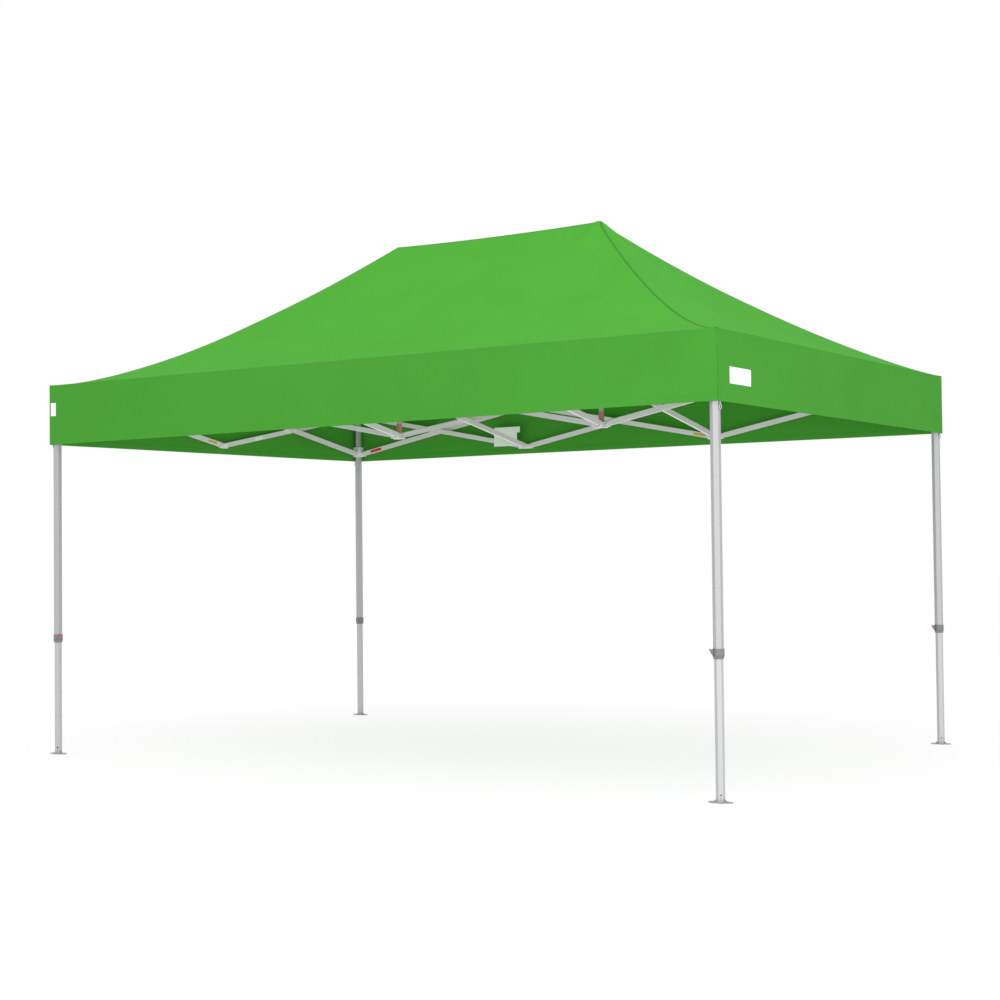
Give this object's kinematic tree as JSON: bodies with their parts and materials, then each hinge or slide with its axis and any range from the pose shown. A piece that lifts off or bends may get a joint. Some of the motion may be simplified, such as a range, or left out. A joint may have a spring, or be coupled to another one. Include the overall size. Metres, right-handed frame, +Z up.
{
  "type": "pop up gazebo",
  "caption": "Folding gazebo with a scissor-truss frame on four telescopic legs and a green two-peaked canopy with a straight hanging valance.",
  "frame": {"origin": "on the ground under the middle of the canopy", "axes": "+X along the long side, +Y to the back, +Z up"},
  "size_m": [4.61, 3.056, 3.1492],
  "materials": {
    "canopy": "coated woven polyester, semi-matt",
    "aluminium": "satin anodised",
    "bracket": "moulded nylon, light grey",
    "collar": "moulded nylon, mid grey",
    "red": "moulded, red",
    "sleeve": "dull red",
    "steel": "zinc plated",
    "label": "blank white label",
    "foam": "black"
  },
  "bodies": {
    "hub_upper_left": {"hub_upper_left": "bracket", "canopy": "canopy"},
    "leg_upper_front_left": {"leg_upper_front_left": "aluminium"},
    "bracket_upper_left": {"bracket_upper_left": "bracket"},
    "leg_upper_back_left": {"leg_upper_back_left": "aluminium"},
    "bracket_upper_front_1": {"bracket_upper_front_1": "bracket"},
    "bracket_upper_back_1": {"bracket_upper_back_1": "bracket"},
    "bracket_upper_front_2": {"bracket_upper_front_2": "bracket"},
    "hub_upper_right": {"hub_upper_right": "bracket"},
    "bracket_upper_back_2": {"bracket_upper_back_2": "bracket"},
    "leg_upper_front_right": {"leg_upper_front_right": "aluminium"},
    "bracket_upper_right": {"bracket_upper_right": "bracket"},
    "leg_upper_back_right": {"leg_upper_back_right": "aluminium"},
    "slider_front_left": {"slider_front_left": "bracket"},
    "bracket_lower_left": {"bracket_lower_left": "bracket"},
    "slider_back_left": {"slider_back_left": "bracket"},
    "bracket_lower_front_1": {"bracket_lower_front_1": "bracket"},
    "hub_lower_left": {"hub_lower_left": "bracket"},
    "bracket_lower_back_1": {"bracket_lower_back_1": "bracket"},
    "bracket_lower_front_2": {"bracket_lower_front_2": "bracket"},
    "hub_lower_right": {"hub_lower_right": "bracket"},
    "bracket_lower_back_2": {"bracket_lower_back_2": "bracket"},
    "slider_front_right": {"slider_front_right": "bracket"},
    "bracket_lower_right": {"bracket_lower_right": "bracket"},
    "slider_back_right": {"slider_back_right": "bracket"},
    "bar_front_1_a": {"bar_front_1_a": "aluminium"},
    "bar_front_1_b": {"bar_front_1_b": "aluminium"},
    "bar_front_2_a": {"bar_front_2_a": "aluminium"},
    "bar_front_2_b": {"bar_front_2_b": "aluminium"},
    "bar_front_3_a": {"bar_front_3_a": "aluminium"},
    "bar_front_3_b": {"bar_front_3_b": "aluminium"},
    "bar_back_1_a": {"bar_back_1_a": "aluminium"},
    "bar_back_1_b": {"bar_back_1_b": "aluminium"},
    "bar_back_2_a": {"bar_back_2_a": "aluminium"},
    "bar_back_2_b": {"bar_back_2_b": "aluminium"},
    "bar_back_3_a": {"bar_back_3_a": "aluminium"},
    "bar_back_3_b": {"bar_back_3_b": "aluminium"},
    "bar_middle_1_a": {"bar_middle_1_a": "aluminium"},
    "bar_middle_2_a": {"bar_middle_2_a": "aluminium"},
    "bar_middle_3_b": {"bar_middle_3_b": "aluminium"},
    "bar_left_1_a": {"bar_left_1_a": "aluminium"},
    "bar_left_1_b": {"bar_left_1_b": "aluminium"},
    "bar_left_2_a": {"bar_left_2_a": "aluminium"},
    "bar_left_2_b": {"bar_left_2_b": "aluminium"},
    "bar_right_1_a": {"bar_right_1_a": "aluminium"},
    "bar_right_1_b": {"bar_right_1_b": "aluminium"},
    "bar_right_2_a": {"bar_right_2_a": "aluminium"},
    "bar_right_2_b": {"bar_right_2_b": "aluminium"},
    "bar_cross_left_1_a": {"bar_cross_left_1_a": "aluminium"},
    "bar_cross_left_1_b": {"bar_cross_left_1_b": "aluminium"},
    "bar_cross_left_2_a": {"bar_cross_left_2_a": "aluminium"},
    "bar_cross_left_2_b": {"bar_cross_left_2_b": "aluminium"},
    "bar_cross_right_1_a": {"bar_cross_right_1_a": "aluminium"},
    "bar_cross_right_1_b": {"bar_cross_right_1_b": "aluminium"},
    "bar_cross_right_2_a": {"bar_cross_right_2_a": "aluminium"},
    "bar_cross_right_2_b": {"bar_cross_right_2_b": "aluminium"},
    "leg_lower_front_left": {"leg_lower_front_left": "aluminium"},
    "leg_lower_front_right": {"leg_lower_front_right": "aluminium"},
    "leg_lower_back_left": {"leg_lower_back_left": "aluminium"},
    "leg_lower_back_right": {"leg_lower_back_right": "aluminium"}
  },
  "joints": [
    {"name": "fold", "type": "hinge", "parent": "hub_upper_left", "child": "bar_middle_2_a", "pos_m": [-0.71, -0.009, 2.23], "axis": [0, 1, 0], "range_deg": [0, 76], "deforming": ["canopy"]},
    {"name": "bar_cross_left_1_b_pivot", "type": "hinge", "parent": "hub_upper_left", "child": "bar_cross_left_1_b", "pos_m": [-0.754, -0.035, 2.23], "axis": [1, 0, 0], "range_deg": [0, 76]},
    {"name": "bar_cross_left_2_a_pivot", "type": "hinge", "parent": "hub_upper_left", "child": "bar_cross_left_2_a", "pos_m": [-0.736, 0.035, 2.23], "axis": [1, 0, 0], "range_deg": [-76, 0]},
    {"name": "hub_lower_right_pivot", "type": "hinge", "parent": "bar_middle_2_a", "child": "hub_lower_right", "pos_m": [0.71, -0.009, 1.955], "axis": [0, 1, 0], "range_deg": [-76, 0]},
    {"name": "bracket_lower_front_1_pivot", "type": "hinge", "parent": "bar_cross_left_1_b", "child": "bracket_lower_front_1", "pos_m": [-0.754, -1.455, 1.955], "axis": [1, 0, 0], "range_deg": [-76, 0]},
    {"name": "bar_cross_left_1_a_pivot", "type": "hinge", "parent": "bar_cross_left_1_b", "child": "bar_cross_left_1_a", "pos_m": [-0.745, -0.745, 2.0925], "axis": [1, 0, 0], "range_deg": [-152, 0]},
    {"name": "bracket_lower_back_1_pivot", "type": "hinge", "parent": "bar_cross_left_2_a", "child": "bracket_lower_back_1", "pos_m": [-0.736, 1.455, 1.955], "axis": [1, 0, 0], "range_deg": [0, 76]},
    {"name": "bar_cross_left_2_b_pivot", "type": "hinge", "parent": "bar_cross_left_2_a", "child": "bar_cross_left_2_b", "pos_m": [-0.745, 0.745, 2.0925], "axis": [1, 0, 0], "range_deg": [0, 152]},
    {"name": "bar_middle_3_b_pivot", "type": "hinge", "parent": "hub_lower_right", "child": "bar_middle_3_b", "pos_m": [0.78, 0.009, 1.955], "axis": [0, 1, 0], "range_deg": [-76, 0]},
    {"name": "bar_cross_right_1_a_pivot", "type": "hinge", "parent": "hub_lower_right", "child": "bar_cross_right_1_a", "pos_m": [0.754, -0.035, 1.955], "axis": [1, 0, 0], "range_deg": [-76, 0]},
    {"name": "bar_cross_right_2_b_pivot", "type": "hinge", "parent": "hub_lower_right", "child": "bar_cross_right_2_b", "pos_m": [0.736, 0.035, 1.955], "axis": [1, 0, 0], "range_deg": [0, 76]},
    {"name": "bar_front_1_a_pivot", "type": "hinge", "parent": "bracket_lower_front_1", "child": "bar_front_1_a", "pos_m": [-0.78, -1.504, 1.955], "axis": [0, 1, 0], "range_deg": [0, 76]},
    {"name": "bar_front_2_b_pivot", "type": "hinge", "parent": "bracket_lower_front_1", "child": "bar_front_2_b", "pos_m": [-0.71, -1.486, 1.955], "axis": [0, 1, 0], "range_deg": [-76, 0]},
    {"name": "bracket_upper_front_1_pivot", "type": "hinge", "parent": "bar_cross_left_1_a", "child": "bracket_upper_front_1", "pos_m": [-0.736, -1.455, 2.23], "axis": [1, 0, 0], "range_deg": [0, 76]},
    {"name": "hub_lower_left_pivot", "type": "hinge", "parent": "bar_cross_left_1_a", "child": "hub_lower_left", "pos_m": [-0.736, -0.035, 1.955], "axis": [1, 0, 0], "range_deg": [0, 76]},
    {"name": "bar_back_1_a_pivot", "type": "hinge", "parent": "bracket_lower_back_1", "child": "bar_back_1_a", "pos_m": [-0.78, 1.486, 1.955], "axis": [0, 1, 0], "range_deg": [0, 76]},
    {"name": "bar_back_2_b_pivot", "type": "hinge", "parent": "bracket_lower_back_1", "child": "bar_back_2_b", "pos_m": [-0.71, 1.504, 1.955], "axis": [0, 1, 0], "range_deg": [-76, 0]},
    {"name": "bracket_upper_back_1_pivot", "type": "hinge", "parent": "bar_cross_left_2_b", "child": "bracket_upper_back_1", "pos_m": [-0.754, 1.455, 2.23], "axis": [1, 0, 0], "range_deg": [-76, 0]},
    {"name": "bracket_upper_right_pivot", "type": "hinge", "parent": "bar_middle_3_b", "child": "bracket_upper_right", "pos_m": [2.2, 0.009, 2.23], "axis": [0, 1, 0], "range_deg": [0, 76]},
    {"name": "bracket_upper_front_2_pivot", "type": "hinge", "parent": "bar_cross_right_1_a", "child": "bracket_upper_front_2", "pos_m": [0.754, -1.455, 2.23], "axis": [1, 0, 0], "range_deg": [0, 76]},
    {"name": "bar_cross_right_1_b_pivot", "type": "hinge", "parent": "bar_cross_right_1_a", "child": "bar_cross_right_1_b", "pos_m": [0.745, -0.745, 2.0925], "axis": [1, 0, 0], "range_deg": [0, 152]},
    {"name": "bracket_upper_back_2_pivot", "type": "hinge", "parent": "bar_cross_right_2_b", "child": "bracket_upper_back_2", "pos_m": [0.736, 1.455, 2.23], "axis": [1, 0, 0], "range_deg": [-76, 0]},
    {"name": "bar_cross_right_2_a_pivot", "type": "hinge", "parent": "bar_cross_right_2_b", "child": "bar_cross_right_2_a", "pos_m": [0.745, 0.745, 2.0925], "axis": [1, 0, 0], "range_deg": [-152, 0]},
    {"name": "leg_upper_front_left_pivot", "type": "hinge", "parent": "bar_front_1_a", "child": "leg_upper_front_left", "pos_m": [-2.2, -1.504, 2.23], "axis": [0, 1, 0], "range_deg": [-76, 0]},
    {"name": "bar_front_1_b_pivot", "type": "hinge", "parent": "bar_front_1_a", "child": "bar_front_1_b", "pos_m": [-1.49, -1.495, 2.0925], "axis": [0, 1, 0], "range_deg": [-152, 0]},
    {"name": "bar_front_2_a_pivot", "type": "hinge", "parent": "bar_front_2_b", "child": "bar_front_2_a", "pos_m": [0, -1.495, 2.0925], "axis": [0, 1, 0], "range_deg": [0, 152]},
    {"name": "bar_middle_1_a_pivot", "type": "hinge", "parent": "hub_lower_left", "child": "bar_middle_1_a", "pos_m": [-0.78, -0.009, 1.955], "axis": [0, 1, 0], "range_deg": [0, 76]},
    {"name": "leg_upper_back_left_pivot", "type": "hinge", "parent": "bar_back_1_a", "child": "leg_upper_back_left", "pos_m": [-2.2, 1.486, 2.23], "axis": [0, 1, 0], "range_deg": [-76, 0]},
    {"name": "bar_back_1_b_pivot", "type": "hinge", "parent": "bar_back_1_a", "child": "bar_back_1_b", "pos_m": [-1.49, 1.495, 2.0925], "axis": [0, 1, 0], "range_deg": [-152, 0]},
    {"name": "bar_back_2_a_pivot", "type": "hinge", "parent": "bar_back_2_b", "child": "bar_back_2_a", "pos_m": [0, 1.495, 2.0925], "axis": [0, 1, 0], "range_deg": [0, 152]},
    {"name": "bar_right_1_b_pivot", "type": "hinge", "parent": "bracket_upper_right", "child": "bar_right_1_b", "pos_m": [2.236, -0.03, 2.23], "axis": [1, 0, 0], "range_deg": [0, 76]},
    {"name": "bar_right_2_a_pivot", "type": "hinge", "parent": "bracket_upper_right", "child": "bar_right_2_a", "pos_m": [2.254, 0.03, 2.23], "axis": [1, 0, 0], "range_deg": [-76, 0]},
    {"name": "bar_front_3_a_pivot", "type": "hinge", "parent": "bracket_upper_front_2", "child": "bar_front_3_a", "pos_m": [0.78, -1.504, 2.23], "axis": [0, 1, 0], "range_deg": [0, 76]},
    {"name": "bracket_lower_front_2_pivot", "type": "hinge", "parent": "bar_cross_right_1_b", "child": "bracket_lower_front_2", "pos_m": [0.736, -1.455, 1.955], "axis": [1, 0, 0], "range_deg": [-76, 0]},
    {"name": "hub_upper_right_pivot", "type": "hinge", "parent": "bar_cross_right_1_b", "child": "hub_upper_right", "pos_m": [0.736, -0.035, 2.23], "axis": [1, 0, 0], "range_deg": [-76, 0]},
    {"name": "bar_back_3_a_pivot", "type": "hinge", "parent": "bracket_upper_back_2", "child": "bar_back_3_a", "pos_m": [0.78, 1.486, 2.23], "axis": [0, 1, 0], "range_deg": [0, 76]},
    {"name": "bracket_lower_back_2_pivot", "type": "hinge", "parent": "bar_cross_right_2_a", "child": "bracket_lower_back_2", "pos_m": [0.754, 1.455, 1.955], "axis": [1, 0, 0], "range_deg": [0, 76]},
    {"name": "bar_left_1_a_pivot", "type": "hinge", "parent": "leg_upper_front_left", "child": "bar_left_1_a", "pos_m": [-2.236, -1.45, 2.23], "axis": [1, 0, 0], "range_deg": [-76, 0]},
    {"name": "slider_front_left_pivot", "type": "hinge", "parent": "bar_front_1_b", "child": "slider_front_left", "pos_m": [-2.2, -1.486, 1.955], "axis": [0, 1, 0], "range_deg": [0, 76]},
    {"name": "bracket_upper_left_pivot", "type": "hinge", "parent": "bar_middle_1_a", "child": "bracket_upper_left", "pos_m": [-2.2, -0.009, 2.23], "axis": [0, 1, 0], "range_deg": [-76, 0]},
    {"name": "bar_left_2_b_pivot", "type": "hinge", "parent": "leg_upper_back_left", "child": "bar_left_2_b", "pos_m": [-2.254, 1.45, 2.23], "axis": [1, 0, 0], "range_deg": [0, 76]},
    {"name": "slider_back_left_pivot", "type": "hinge", "parent": "bar_back_1_b", "child": "slider_back_left", "pos_m": [-2.2, 1.504, 1.955], "axis": [0, 1, 0], "range_deg": [0, 76]},
    {"name": "slider_front_right_pivot", "type": "hinge", "parent": "bar_right_1_b", "child": "slider_front_right", "pos_m": [2.236, -1.45, 1.955], "axis": [1, 0, 0], "range_deg": [-76, 0]},
    {"name": "bar_right_1_a_pivot", "type": "hinge", "parent": "bar_right_1_b", "child": "bar_right_1_a", "pos_m": [2.245, -0.74, 2.0925], "axis": [1, 0, 0], "range_deg": [-152, 0]},
    {"name": "slider_back_right_pivot", "type": "hinge", "parent": "bar_right_2_a", "child": "slider_back_right", "pos_m": [2.254, 1.45, 1.955], "axis": [1, 0, 0], "range_deg": [0, 76]},
    {"name": "bar_right_2_b_pivot", "type": "hinge", "parent": "bar_right_2_a", "child": "bar_right_2_b", "pos_m": [2.245, 0.74, 2.0925], "axis": [1, 0, 0], "range_deg": [0, 152]},
    {"name": "bar_front_3_b_pivot", "type": "hinge", "parent": "bar_front_3_a", "child": "bar_front_3_b", "pos_m": [1.49, -1.495, 2.0925], "axis": [0, 1, 0], "range_deg": [-152, 0]},
    {"name": "bar_back_3_b_pivot", "type": "hinge", "parent": "bar_back_3_a", "child": "bar_back_3_b", "pos_m": [1.49, 1.495, 2.0925], "axis": [0, 1, 0], "range_deg": [-152, 0]},
    {"name": "bracket_lower_left_pivot", "type": "hinge", "parent": "bar_left_1_a", "child": "bracket_lower_left", "pos_m": [-2.236, -0.03, 1.955], "axis": [1, 0, 0], "range_deg": [0, 76]},
    {"name": "bar_left_1_b_pivot", "type": "hinge", "parent": "bar_left_1_a", "child": "bar_left_1_b", "pos_m": [-2.245, -0.74, 2.0925], "axis": [1, 0, 0], "range_deg": [0, 152]},
    {"name": "bar_left_2_a_pivot", "type": "hinge", "parent": "bracket_upper_left", "child": "bar_left_2_a", "pos_m": [-2.236, 0.03, 2.23], "axis": [1, 0, 0], "range_deg": [-76, 0]},
    {"name": "leg_upper_front_right_pivot", "type": "hinge", "parent": "bar_right_1_a", "child": "leg_upper_front_right", "pos_m": [2.254, -1.45, 2.23], "axis": [1, 0, 0], "range_deg": [0, 76]},
    {"name": "bracket_lower_right_pivot", "type": "hinge", "parent": "bar_right_1_a", "child": "bracket_lower_right", "pos_m": [2.254, -0.03, 1.955], "axis": [1, 0, 0], "range_deg": [0, 76]},
    {"name": "leg_upper_back_right_pivot", "type": "hinge", "parent": "bar_right_2_b", "child": "leg_upper_back_right", "pos_m": [2.236, 1.45, 2.23], "axis": [1, 0, 0], "range_deg": [-76, 0]},
    {"name": "leg_slide_front_left", "type": "slide", "parent": "leg_upper_front_left", "child": "leg_lower_front_left", "axis": [0, 0, 1], "range_m": [0, 0.62]},
    {"name": "leg_slide_front_right", "type": "slide", "parent": "leg_upper_front_right", "child": "leg_lower_front_right", "axis": [0, 0, 1], "range_m": [0, 0.62]},
    {"name": "leg_slide_back_left", "type": "slide", "parent": "leg_upper_back_left", "child": "leg_lower_back_left", "axis": [0, 0, 1], "range_m": [0, 0.62]},
    {"name": "leg_slide_back_right", "type": "slide", "parent": "leg_upper_back_right", "child": "leg_lower_back_right", "axis": [0, 0, 1], "range_m": [0, 0.62]}
  ],
  "couplings": [
    {"joint": "bar_cross_left_1_b_pivot", "follows": "fold", "ratio": 1},
    {"joint": "bar_cross_left_2_a_pivot", "follows": "fold", "ratio": -1},
    {"joint": "hub_lower_right_pivot", "follows": "fold", "ratio": -1},
    {"joint": "bracket_lower_front_1_pivot", "follows": "fold", "ratio": -1},
    {"joint": "bar_cross_left_1_a_pivot", "follows": "fold", "ratio": -2},
    {"joint": "bracket_lower_back_1_pivot", "follows": "fold", "ratio": 1},
    {"joint": "bar_cross_left_2_b_pivot", "follows": "fold", "ratio": 2},
    {"joint": "bar_middle_3_b_pivot", "follows": "fold", "ratio": -1},
    {"joint": "bar_cross_right_1_a_pivot", "follows": "fold", "ratio": -1},
    {"joint": "bar_cross_right_2_b_pivot", "follows": "fold", "ratio": 1},
    {"joint": "bar_front_1_a_pivot", "follows": "fold", "ratio": 1},
    {"joint": "bar_front_2_b_pivot", "follows": "fold", "ratio": -1},
    {"joint": "bracket_upper_front_1_pivot", "follows": "fold", "ratio": 1},
    {"joint": "hub_lower_left_pivot", "follows": "fold", "ratio": 1},
    {"joint": "bar_back_1_a_pivot", "follows": "fold", "ratio": 1},
    {"joint": "bar_back_2_b_pivot", "follows": "fold", "ratio": -1},
    {"joint": "bracket_upper_back_1_pivot", "follows": "fold", "ratio": -1},
    {"joint": "bracket_upper_right_pivot", "follows": "fold", "ratio": 1},
    {"joint": "bracket_upper_front_2_pivot", "follows": "fold", "ratio": 1},
    {"joint": "bar_cross_right_1_b_pivot", "follows": "fold", "ratio": 2},
    {"joint": "bracket_upper_back_2_pivot", "follows": "fold", "ratio": -1},
    {"joint": "bar_cross_right_2_a_pivot", "follows": "fold", "ratio": -2},
    {"joint": "leg_upper_front_left_pivot", "follows": "fold", "ratio": -1},
    {"joint": "bar_front_1_b_pivot", "follows": "fold", "ratio": -2},
    {"joint": "bar_front_2_a_pivot", "follows": "fold", "ratio": 2},
    {"joint": "bar_middle_1_a_pivot", "follows": "fold", "ratio": 1},
    {"joint": "leg_upper_back_left_pivot", "follows": "fold", "ratio": -1},
    {"joint": "bar_back_1_b_pivot", "follows": "fold", "ratio": -2},
    {"joint": "bar_back_2_a_pivot", "follows": "fold", "ratio": 2},
    {"joint": "bar_right_1_b_pivot", "follows": "fold", "ratio": 1},
    {"joint": "bar_right_2_a_pivot", "follows": "fold", "ratio": -1},
    {"joint": "bar_front_3_a_pivot", "follows": "fold", "ratio": 1},
    {"joint": "bracket_lower_front_2_pivot", "follows": "fold", "ratio": -1},
    {"joint": "hub_upper_right_pivot", "follows": "fold", "ratio": -1},
    {"joint": "bar_back_3_a_pivot", "follows": "fold", "ratio": 1},
    {"joint": "bracket_lower_back_2_pivot", "follows": "fold", "ratio": 1},
    {"joint": "bar_left_1_a_pivot", "follows": "fold", "ratio": -1},
    {"joint": "slider_front_left_pivot", "follows": "fold", "ratio": 1},
    {"joint": "bracket_upper_left_pivot", "follows": "fold", "ratio": -1},
    {"joint": "bar_left_2_b_pivot", "follows": "fold", "ratio": 1},
    {"joint": "slider_back_left_pivot", "follows": "fold", "ratio": 1},
    {"joint": "slider_front_right_pivot", "follows": "fold", "ratio": -1},
    {"joint": "bar_right_1_a_pivot", "follows": "fold", "ratio": -2},
    {"joint": "slider_back_right_pivot", "follows": "fold", "ratio": 1},
    {"joint": "bar_right_2_b_pivot", "follows": "fold", "ratio": 2},
    {"joint": "bar_front_3_b_pivot", "follows": "fold", "ratio": -2},
    {"joint": "bar_back_3_b_pivot", "follows": "fold", "ratio": -2},
    {"joint": "bracket_lower_left_pivot", "follows": "fold", "ratio": 1},
    {"joint": "bar_left_1_b_pivot", "follows": "fold", "ratio": 2},
    {"joint": "bar_left_2_a_pivot", "follows": "fold", "ratio": -1},
    {"joint": "leg_upper_front_right_pivot", "follows": "fold", "ratio": 1},
    {"joint": "bracket_lower_right_pivot", "follows": "fold", "ratio": 1},
    {"joint": "leg_upper_back_right_pivot", "follows": "fold", "ratio": -1}
  ]
}
